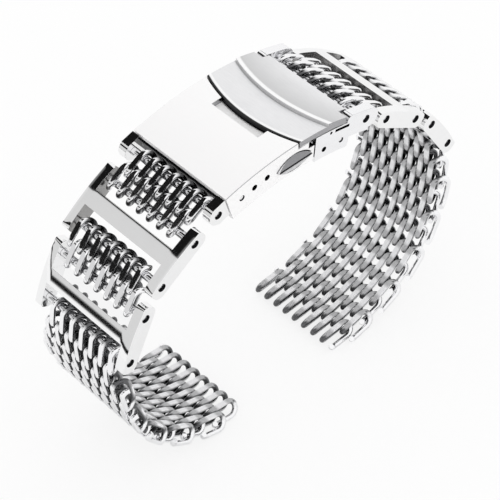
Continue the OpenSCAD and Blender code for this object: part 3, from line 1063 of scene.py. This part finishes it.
@dataclass(frozen=True)
class Cover:
    """The clasp's cover. Sizes are in millimetres."""

    arch: Arch
    edge: float = 0.12
    shoulder_edge: float = 0.42
    hole_turn: float = 2.96
    hole_bore: float = 0.56
    thumb_half: float = 5.2
    thumb_rim: float = 0.4
    thumb_front: float = -3.77
    thumb_reach: float = 2.5
    thumb_depth: float = 1.3
    thumb_slope: float = 0.97
    flap_gap: float = 0.45
    mouth_half_length: float = 3.8
    mouth_half_height: float = 1.8
    wall_inside: float = 9.5

    def adjustment_holes(self) -> list[Vector]:
        """The middles of the three adjustment holes in metres, the first of which the spring bar fills."""
        centre = Vector((0, *self.arch.axis)) * MM
        arm = middle_of("cover_spring_bar") - centre
        return [centre + Matrix.Rotation(-math.radians(self.hole_turn * k), 4, "X") @ arm for k in range(3)]

    @cached_property
    def button(self) -> Vector:
        """The middle of a button in metres, which stands in the middle of its opening."""
        return middle_of("push_button_near")

    def mouth(self, middle: Vector, normal: Vector) -> bool:
        """Whether a face is a wall of a button's opening."""
        return (abs(normal.x) < SIDEWAYS
                and self.wall_inside * MM < abs(middle.x) < (self.arch.half_width - 0.05) * MM
                and abs(middle.y - self.button.y) < self.mouth_half_length * MM
                and abs(middle.z - self.button.z) < self.mouth_half_height * MM)

    def rim(self, middle: Vector, normal: Vector) -> bool:
        """Whether a face borders the flap."""
        return (self.arch.slope(middle, normal) < WALL_SLOPE
                and abs(FRONT_BOW.depth(middle)) < self.flap_gap)

    def thumb(self, middle: Vector, normal: Vector) -> bool:
        """Whether a face is a wall of the finger recess."""
        return (self.arch.slope(middle, normal) < self.thumb_slope
                and abs(middle.x) < (self.thumb_half + self.thumb_rim) * MM
                and abs(middle.y / MM - self.thumb_front) < self.thumb_reach
                and self.arch.ring(middle) > self.arch.radius - self.thumb_depth)

    def shoulder(self, middle: Vector, along: Vector) -> bool:
        """Whether an edge runs along the arch between the top and a side."""
        return (abs(middle.x) > (self.arch.half_width - 0.05) * MM
                and self.arch.ring(middle) > self.arch.radius - 0.1)

    def copies(self) -> list[EasedCopy]:
        """The cover's eased copy."""
        holes = bore_walls(*((hole, self.hole_bore) for hole in self.adjustment_holes()))
        # Painted shade: grey eased edges and recess walls; near-black gap round the flap, holes and button
        # openings
        zones = (("edge_line", edge_lines), ("edge_line", self.thumb), ("dark_bore", self.rim),
                 ("dark_bore", holes), ("dark_bore", self.mouth))
        return [EasedCopy("clasp_cover", "satin_cover", Slot.SATIN, self.edge, 3, zones,
                          wide=self.shoulder_edge, wide_edges=self.shoulder)]


@dataclass(frozen=True)
class Flap:
    """The safety flap. Sizes are in millimetres."""

    arch: Arch
    edge: float = 0.14
    front_reach: float = 0.3

    def front(self, middle: Vector, normal: Vector) -> bool:
        """Whether a face is part of the bowed front edge."""
        return (self.arch.slope(middle, normal) < WALL_SLOPE
                and abs(FRONT_BOW.depth(middle)) < self.front_reach and normal.y < 0)

    def side(self, middle: Vector, normal: Vector) -> bool:
        """Whether a face looks across the band."""
        return abs(normal.x) > SIDEWAYS

    def copies(self) -> list[EasedCopy]:
        """The flap's eased copy."""
        # Painted shade: dark grey sides and a near-black bowed front edge
        zones = (("flap_edge", self.side), ("dark_bore", self.front))
        return [EasedCopy("safety_flap", "satin_flap", Slot.SATIN, self.edge, 4, zones)]


@dataclass(frozen=True)
class Housing:
    """The clasp's housing, with a slot and a dot sunk into each side. Sizes are in millimetres."""

    arch: Arch
    pin_bore: float = 0.82
    small_bore: float = 0.56
    mark_depth: float = 0.6
    mark_ring: float = 52.25
    mark_half: float = 0.6
    mark_turns: tuple[float, float] = (8.0, 14.0)

    def pocket(self, middle: Vector, normal: Vector) -> bool:
        """Whether a face is a floor or a wall of what is sunk into the sides."""
        side = self.arch.half_width
        return (side - self.mark_depth - 0.04) * MM < abs(middle.x) < (side - 0.06) * MM

    def marked(self, middle: Vector, normal: Vector) -> bool:
        """Whether a face belongs to the slot or the dot, with their eased edges."""
        side = self.arch.half_width
        low, high = self.mark_turns
        return (low < self.arch.turn(middle) < high
                and abs(self.arch.ring(middle) - self.mark_ring) < self.mark_half
                and abs(middle.x) > (side - self.mark_depth - 0.1) * MM
                and not (abs(normal.x) > FLAT and abs(middle.x) > (side - 0.02) * MM))

    def copies(self) -> list[EasedCopy]:
        """The housing's eased copy."""
        bores = bore_walls(
            (middle_of("right_end_pin"), self.pin_bore), (middle_of("catch_bar"), self.small_bore),
            (middle_of("housing_rivet"), self.small_bore))
        # Painted shade: grey eased edges; near-black bores and the sunk slot and dot
        zones = (("edge_line", edge_lines), ("dark_bore", bores), ("dark_bore", self.pocket),
                 ("dark_bore", self.marked))
        return [EasedCopy("clasp_housing", "polished_plate", Slot.POLISHED, zones=zones)]


@dataclass(frozen=True)
class EndLink:
    """The link between the cover and the left strap. Sizes are in millimetres."""

    edge: float = 0.14
    pin_bore: float = 0.82
    bar_half: float = 9.4

    def crossbar(self, middle: Vector, normal: Vector) -> bool:
        """Whether a face is on the bar, in the shade between the arms."""
        return abs(middle.x) < self.bar_half * MM and abs(normal.x) < 0.5

    def copies(self) -> list[EasedCopy]:
        """The end link's eased copy."""
        bore = bore_walls((middle_of("left_end_pin"), self.pin_bore))
        # Painted shade: the crossbar and the bore walls near-black
        zones = (("dark_bore", self.crossbar), ("dark_bore", bore))
        return [EasedCopy("end_link", "mirror_link", Slot.POLISHED, self.edge, zones=zones)]


@dataclass(frozen=True)
class Buttons:
    """The two push buttons, each with two slopes that meet in a ridge. Sizes are in millimetres."""

    arch: Arch
    ridge_half: float = 0.22

    @cached_property
    def peak(self) -> float:
        """The height of both ridges, in metres."""
        return max(frame["nodes"]["push_button_near"].data.vertices, key=lambda v: v.co.x).co.z

    def ridge(self, middle: Vector, normal: Vector) -> bool:
        """Whether a face is on the ridge between the slopes."""
        return (abs(middle.z - self.peak) < self.ridge_half * MM
                and abs(middle.x) > (self.arch.half_width + 0.1) * MM)

    def part_ridge(self, shape: bmesh.types.BMesh) -> None:
        """Cuts the two slopes beside their ridge."""
        for shift in (-self.ridge_half, self.ridge_half):
            cut_faces(shape, Vector((0, 0, self.peak + shift * MM)), Vector((0, 0, 1)))

    def upper(self, middle: Vector, normal: Vector) -> bool:
        """Whether a face is on the upper slope."""
        return normal.z > 0.1 and abs(middle.x) > self.arch.half_width * MM

    def copies(self) -> list[EasedCopy]:
        """The eased copies of both buttons."""
        # Painted shade: the upper slope dark grey and the ridge near-black
        zones = (("button_top", self.upper), ("dark_bore", self.ridge))
        return [EasedCopy(node, "button_low", Slot.POLISHED, zones=zones, shaping=self.part_ridge)
                for node in ("push_button_near", "push_button_far")]


class Clasp:
    """The folding clasp. Its springs keep their own solids."""

    PINS_AND_BLADES = (
        EasedCopy("left_end_pin", "bright_end", Slot.PIN, 0.18),
        EasedCopy("right_end_pin", "bright_end", Slot.PIN, 0.18),
        EasedCopy("flap_pin", "turned_pin", Slot.PIN, 0.08),
        EasedCopy("catch_bar", "turned_pin", Slot.PIN, 0.08),
        EasedCopy("housing_rivet", "bright_end", Slot.PIN),
        EasedCopy("cover_spring_bar", "bright_end", Slot.PIN),
        EasedCopy("base_blade", "rolled_blade", Slot.BLADE, 0.08),
        EasedCopy("middle_blade", "rolled_blade", Slot.BLADE, 0.0),
        EasedCopy("hinge_pin_base", "turned_pin", Slot.PIN, 0.08),
        EasedCopy("hinge_pin_cover", "turned_pin", Slot.PIN, 0.08),
    )

    def build(self, workshop: Workshop) -> None:
        """Builds the rigid parts and dresses the springs.

        Args:
            workshop: The materials.
        """
        arch = Arch()
        parts = Cover(arch), Flap(arch), Housing(arch), EndLink(), Buttons(arch)
        shaped = [copy for part in parts for copy in part.copies()]
        for copy in (*shaped, *self.PINS_AND_BLADES):
            copy.build(workshop)
        for name in ("button_spring_near", "button_spring_far"):
            mesh = frame["nodes"][name].data
            mesh.materials.clear()
            mesh.materials.append(workshop.material("drawn_spring"))


@dataclass(frozen=True)
class Panel:
    """A screen that polished steel shows, from one angle in degrees above the -Y horizon to another."""

    low: float
    high: float
    level: float


@dataclass(frozen=True)
class Studio:
    """A white room with a few screens, and the camera of the picture. Sizes are in metres."""

    azimuth: float = 47.0
    elevation: float = 46.0
    distance: float = 0.382
    lens: float = 167.4
    sensor_width: float = 36.0
    clip: tuple[float, float] = (0.01, 10.0)
    target: tuple[float, float, float] = (0.0, -0.000491, 0.02568)
    panels: tuple[Panel, ...] = (
        Panel(-10.0, 57.0, 0.72), Panel(56.5, 102.0, 0.008), Panel(20.0, 35.0, 0.01),
        Panel(-12.0, -9.9, 0.002))
    panel_across: tuple[float, float] = (-0.86, -0.14)
    panel_side_blur: float = 0.1
    panel_edge_blur: float = 0.6
    floor_near: float = -0.16
    floor_far: float = 0.4
    floor_white: float = 0.97
    floor_glow: float = 0.8

    def camera(self) -> None:
        """Stands the camera where the picture was taken."""
        a, e = math.radians(self.azimuth), math.radians(self.elevation)
        towards = Vector((math.sin(a) * math.cos(e), -math.cos(a) * math.cos(e), math.sin(e)))
        data = bpy.data.cameras.new("picture_camera")
        data.lens, data.sensor_width = self.lens, self.sensor_width
        data.clip_start, data.clip_end = self.clip
        camera = add_object("picture_camera", data)
        camera.location = Vector(self.target) + towards * self.distance
        camera.rotation_euler = towards.to_track_quat("Z", "Y").to_euler()
        bpy.context.scene.camera = camera

    def world(self) -> None:
        """Makes the white surroundings, in which glossy surfaces also see the screens."""
        world = bpy.data.worlds.new("studio")
        bpy.context.scene.world = world
        world.use_nodes = True
        tree = world.node_tree
        background = tree.nodes["Background"]
        across, along, up = coordinates(tree, "Generated")
        height = up.math("ARCTAN2", along * -1.0) * (180.0 / math.pi)
        glossy = Formula(tree, tree.nodes.new("ShaderNodeLightPath").outputs["Is Glossy Ray"])
        side = across.band(*self.panel_across, self.panel_side_blur) * glossy
        level = side * 0.0 + 1.0
        for panel in self.panels:
            inside = height.band(panel.low, panel.high, self.panel_edge_blur)
            level = level + side * inside * (level * -1.0 + panel.level)
        tree.links.new(level.socket, background.inputs["Color"])
        background.inputs["Strength"].default_value = 1.0

    def floor(self) -> None:
        """Lays the white floor that keeps the band's shadow."""
        near, far = self.floor_near, self.floor_far
        mesh = bpy.data.meshes.new("studio_floor")
        mesh.from_pydata([(-far, near, 0), (far, near, 0), (far, far, 0), (-far, far, 0)], [], [(0, 1, 2, 3)])
        material = bpy.data.materials.new("white_floor")
        material.use_nodes = True
        tree = material.node_tree
        shader = tree.nodes["Principled BSDF"]
        shader.inputs["Base Color"].default_value = (*steel(self.floor_white, 0.0), 1.0)
        shader.inputs["Roughness"].default_value = 0.9
        shader.inputs["Specular IOR Level"].default_value = 0.1
        glow = tree.nodes.new("ShaderNodeEmission")
        mix = tree.nodes.new("ShaderNodeMixShader")
        seen = Formula(tree, tree.nodes.new("ShaderNodeLightPath").outputs["Is Camera Ray"])
        tree.links.new((seen * self.floor_glow).socket, mix.inputs["Fac"])
        tree.links.new(shader.outputs[0], mix.inputs[1])
        tree.links.new(glow.outputs[0], mix.inputs[2])
        tree.links.new(mix.outputs[0], tree.nodes["Material Output"].inputs["Surface"])
        mesh.materials.append(material)
        floor = add_object("studio_floor", mesh)

    def build(self) -> None:
        """Builds the whole studio."""
        bpy.context.scene.view_settings.view_transform = "Standard"
        self.camera()
        self.world()
        self.floor()


def main() -> None:
    """Builds the studio and dresses every part of the band."""
    logging.basicConfig(level=logging.INFO, format="%(name)s: %(message)s")
    Studio().build()
    workshop = Workshop()
    tree = CoilTree().tree
    MeshStrap(Side.LEFT, 12).build(tree, workshop)
    MeshStrap(Side.RIGHT, 13).build(tree, workshop)
    Links().build(workshop)
    Clasp().build(workshop)


if __name__ == "__main__":
    main()
